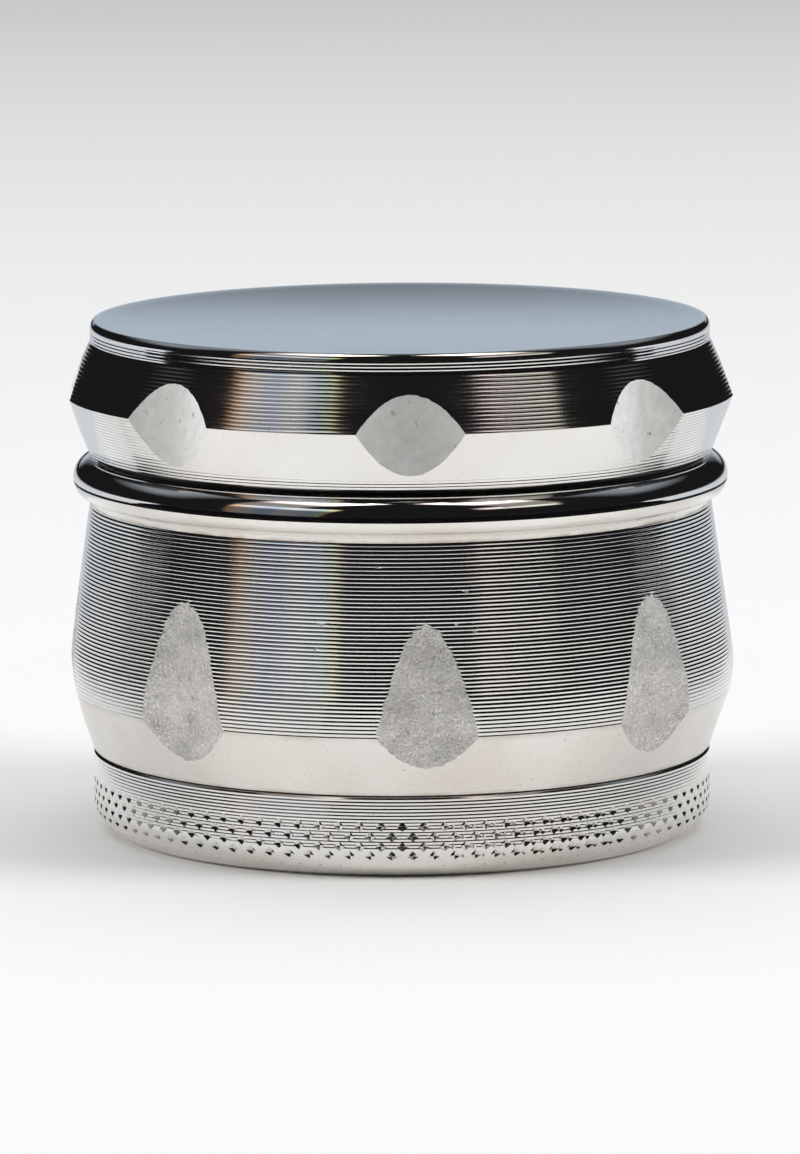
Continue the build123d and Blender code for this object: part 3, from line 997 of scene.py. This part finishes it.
def makeLid():
    foot, ridge, rim = waist + lid["footOut"], waist + lid["ridgeOut"], waist - lid["rimIn"]
    ridgeZ = level["lid"] + lid["taper"]
    rimZ = ridgeZ + lid["flare"]
    top = level["lidTop"]
    soft = lid["softEdge"]
    dish = rim - 2 * lid["edge"]
    sphere = (dish ** 2 + lid["dish"] ** 2) / (2 * lid["dish"])
    dishAngle = degrees(asin(dish / sphere))
    rebate = neck["outside"] + glide["room"] + glide["wall"] + lid["rebateRoom"]
    rebateTop = high("glide_ring") + lid["rebateRoom"]
    boss, post, room = level["boss"], teeth["post"], lid["cornerRoom"]
    bossDeep = boss + lid["magnetDeep"]
    rimStart, rimEnd = (rim, rimZ + lid["rimStep"]), (rim, top - soft - lid["rimTop"])
    points = [(rebate, level["lid"]), (foot - bevel, level["lid"])]
    points += grooved([(foot, level["lid"] + bevel), (ridge, ridgeZ)], *lid["taperLines"])
    points += grooved([(ridge, ridgeZ), (rim, rimZ)], *lid["flareLines"])[1:]
    points += [rimStart]
    points += grooved([rimStart, rimEnd], *lid["rimLines"])[1:]
    # a wide arc up the edge, and a small one where it meets the top
    slope = radians(lid["softTurn"])
    small = lid["cornerRound"]
    big = (soft - small * (1 - sin(slope))) / sin(slope)
    smallIn = (big - small) * (1 - cos(slope)) + small
    points += arc((rim - big, top - soft), big, 0, lid["softTurn"], 14)
    points += arc((rim - smallIn, top - small), small, lid["softTurn"], 90, 4)[1:]
    points += arc((0, top - lid["dish"] + sphere), sphere, dishAngle - 90, -90, 16)
    points += [(0, bossDeep), (magnetFit, bossDeep), (magnetFit, boss)]
    points += [(post - bevel, boss), (post, boss + bevel)]
    points += [(post, ceiling - room), (post + room, ceiling), (lidBore - room, ceiling)]
    points += [(lidBore, ceiling - room), (lidBore, rebateTop), (rebate, rebateTop), (rebate, level["lid"])]
    piece = turn("grinderLid", points, lid["steps"])
    rings = [toothRing(2 * k, count, angle, ceiling + teeth["sunk"], False)
             for k, (count, angle) in enumerate(teeth["lid"])]
    combine(piece, joinInto(rings[0], rings[1:]), "UNION")
    dress(piece, turnedChrome, insideChrome, beadChrome, dishChrome)
    paint(piece, 1, lambda place: radiusOf(place) < rebate + near and place.z < top - lid["insideDrop"])
    paint(piece, 2, lambda place: radiusOf(place) > dish - near and place.z > top - soft - near)
    paint(piece, 3, lambda place: radiusOf(place) < dish and place.z > top - 1)
    cutters = fluteCutters(ridge, lid, level["lid"] - lid["fluteBelow"], top - lid["edge"], castFine)
    combine(piece, cutters, "DIFFERENCE", transfer=True)
    finishPiece(piece, "lid_body", "lid", "lid_teeth", angle=9)


makeLid()


# the studio, in metres
def matte(name, colour, roughness, specular):
    material, tree, shader = newMaterial(name)
    shader.inputs["Base Color"].default_value = colour
    shader.inputs["Roughness"].default_value = roughness
    shader.inputs["Specular IOR Level"].default_value = specular
    return material


def glossyOnly(card):
    card.visible_camera = False
    card.visible_diffuse = False
    card.visible_shadow = False
    card.visible_transmission = False


def makeFloor():
    bpy.ops.mesh.primitive_plane_add(size=12, location=(0, 0, 0))
    floor = bpy.context.object
    floor.name = "paleFloor"
    floor.data.materials.append(matte("paleFloor", (0.80, 0.80, 0.80, 1), 0.85, 0.1))


# colours across each strip, as they split at the edges of a ribbed diffuser
leftBands = ((0.0, (0, 0, 0, 1)), (0.06, (1.0, 0.80, 0.45, 1)), (0.12, (0.50, 0.80, 0.62, 1)),
             (0.20, (0.62, 0.72, 0.88, 1)), (0.42, (0.90, 0.90, 0.92, 1)), (0.58, (0.55, 0.68, 0.95, 1)),
             (0.80, (0.92, 0.88, 0.84, 1)), (0.95, (1.0, 0.62, 0.36, 1)), (1.0, (0, 0, 0, 1)))
rightBands = ((0.0, (0, 0, 0, 1)), (0.08, (0.9, 0.85, 0.75, 1)), (0.5, (0.95, 0.93, 0.90, 1)),
              (0.85, (0.95, 0.80, 0.78, 1)), (1.0, (0, 0, 0, 1)))
# place, size, colours, and how the brightness runs up the card: two heights and the strength at each
cards = {
    "leftStrip": ((-0.55, -0.55, 0.31), (0.58, 0.60), leftBands, (0.16, 0.40, 0.16, 1.2)),
    "rightStrip": ((0.56, -0.54, 0.62), (0.52, 0.15), rightBands, (-0.5, 0.5, 0.9, 1.3)),
    "leftTop": ((-0.35, -0.24, 0.76), (0.37, 0.62), rightBands, (-0.1, 0.25, 0.3, 3.2)),
    "rightTop": ((0.35, -0.25, 0.76), (0.33, 0.62), rightBands, (-0.1, 0.25, 0.3, 3.2)),
}
# place, size, power and colour
lamps = {
    "overheadSoft": ((0, 0.3, 1.3), 2.0, 18, (1, 1, 1)),
    "leftFill": ((-1.1, -0.25, 0.5), 0.6, 11.5, (1, 0.985, 0.96)),
    "rightFill": ((1.1, -0.25, 0.5), 0.6, 11.5, (1, 0.985, 0.96)),
}
# the side that is cut away, and the colour
flags = {"frontFlag": (1, (0.004, 0.004, 0.005, 1)), "backFlag": (-1, (0.55, 0.58, 0.62, 1))}
flagRing = {"radius": 0.108, "grow": 30, "height": 0.0008, "cutAt": 0.03}
aimed = {"cards": (0, 0, 0.03), "lamps": (0, 0, 0.02)}


def makeCard(name, place, size, bands, rise):
    # a glowing card that only shiny surfaces see
    bpy.ops.mesh.primitive_plane_add(size=1, location=place)
    card = bpy.context.object
    card.name = name
    card.scale = (size[0], size[1], 1)
    aim = Vector(aimed["cards"]) - Vector(place)
    card.rotation_euler = aim.to_track_quat("Z", "Y").to_euler()
    material, tree, shader = newMaterial(name)
    split = addNode(tree, "ShaderNodeSeparateXYZ", {0: objectCoords(tree)})
    ramp = addNode(tree, "ShaderNodeValToRGB", {"Fac": calculate(tree, "ADD", split.outputs["X"], 0.5)})
    for position, colour in bands[1:-1]:
        ramp.color_ramp.elements.new(position)
    for element, (position, colour) in zip(ramp.color_ramp.elements, bands):
        element.position = position
        element.color = colour
    strength = remap(tree, split.outputs["Y"], *rise)
    glow = addNode(tree, "ShaderNodeEmission", {"Color": ramp.outputs["Color"], "Strength": strength})
    tree.links.new(glow.outputs["Emission"], tree.nodes["Material Output"].inputs["Surface"])
    card.data.materials.append(material)
    glossyOnly(card)


def makeLamp(name, place, size, power, colour):
    data = bpy.data.lights.new(name, "AREA")
    data.shape = "RECTANGLE"
    data.size, data.size_y = size, size
    data.energy = power
    data.color = colour
    lamp = bpy.data.objects.new(name, data)
    bpy.context.collection.objects.link(lamp)
    lamp.location = place
    aim = Vector(aimed["lamps"]) - Vector(place)
    lamp.rotation_euler = aim.to_track_quat("-Z", "Y").to_euler()
    lamp.visible_glossy = False


def makeFlag(name, side, colour):
    # half a ring on the floor that only shiny surfaces see, in front of the grinder or behind it
    bpy.ops.mesh.primitive_circle_add(
        vertices=96, radius=flagRing["radius"], location=(0, 0, flagRing["height"]),
    )
    flag = bpy.context.object
    flag.name = name
    settle(flag)
    editAll()
    bpy.ops.mesh.extrude_region_move()
    bpy.ops.transform.resize(value=(flagRing["grow"], flagRing["grow"], 1))
    bpy.ops.mesh.select_all(action="SELECT")
    bpy.ops.mesh.bisect(plane_co=(0, flagRing["cutAt"], 0), plane_no=(0, side, 0), clear_outer=True)
    leaveEdit()
    flag.data.materials.append(matte(name, colour, 1, 0))
    glossyOnly(flag)


def makeLight():
    for name, settings in lamps.items():
        makeLamp(name, *settings)
    for name, settings in cards.items():
        makeCard(name, *settings)
    for name, settings in flags.items():
        makeFlag(name, *settings)


# the room that the metal reflects: dark, with a grey band low at the back and a dim roof above it
room = {
    "dark": (0.010, 0.010, 0.011, 1), "band": (0.46, 0.53, 0.60, 1), "roof": (0.24, 0.27, 0.30, 1),
    "backdrop": (0.80, 0.80, 0.80, 1),
    # from one reading to another, and the share at each
    "back": (0.95, 0.985, 0.0, 1.0), "rising": (0.04, 0.065, 0.0, 1.0),
    "falling": (0.115, 0.165, 1.0, 0.30),
    "above": (0.45, 0.62, 0.0, 1.0), "beyond": (0.02, 0.30, 0.0, 1.0),
}


def makeWorld():
    world = bpy.data.worlds.new("studioWorld")
    bpy.context.scene.world = world
    world.use_nodes = True
    tree = world.node_tree
    coords = addNode(tree, "ShaderNodeTexCoord").outputs["Generated"]
    split = addNode(tree, "ShaderNodeSeparateXYZ", {0: coords})
    backward, upward = split.outputs["Y"], split.outputs["Z"]
    rising, falling = remap(tree, upward, *room["rising"]), remap(tree, upward, *room["falling"])
    inBand = calculate(tree, "MULTIPLY", rising, falling)
    inBand = calculate(tree, "MULTIPLY", inBand, remap(tree, backward, *room["back"]))
    tone = mixColour(tree, inBand, room["dark"], room["band"])
    above, beyond = remap(tree, upward, *room["above"]), remap(tree, backward, *room["beyond"])
    tone = mixColour(tree, calculate(tree, "MULTIPLY", above, beyond), tone, room["roof"])
    path = addNode(tree, "ShaderNodeLightPath")
    seen = mixColour(tree, path.outputs["Is Camera Ray"], tone, room["backdrop"])
    tree.links.new(seen, tree.nodes["Background"].inputs["Color"])


# angles in degrees, the tilt downwards
view = {"lens": 230.9, "tilt": 8.72, "distance": 0.70, "middle": 0.02357, "roll": -0.3, "shift": -1 / 1154}


def makeCamera():
    data = bpy.data.cameras.new("camera")
    data.lens = view["lens"]
    data.clip_start = 0.01
    data.shift_x = view["shift"]
    camera = bpy.data.objects.new("camera", data)
    bpy.context.collection.objects.link(camera)
    tilt, distance = radians(view["tilt"]), view["distance"]
    camera.location = (0, -distance * cos(tilt), view["middle"] + distance * sin(tilt))
    camera.rotation_mode = "ZYX"  # the roll comes first, about the line of sight
    camera.rotation_euler = (pi / 2 - tilt, 0, radians(view["roll"]))
    bpy.context.scene.camera = camera


makeFloor()
makeLight()
makeWorld()
makeCamera()
bpy.context.scene.view_settings.view_transform = "Standard"
print("studio ready")
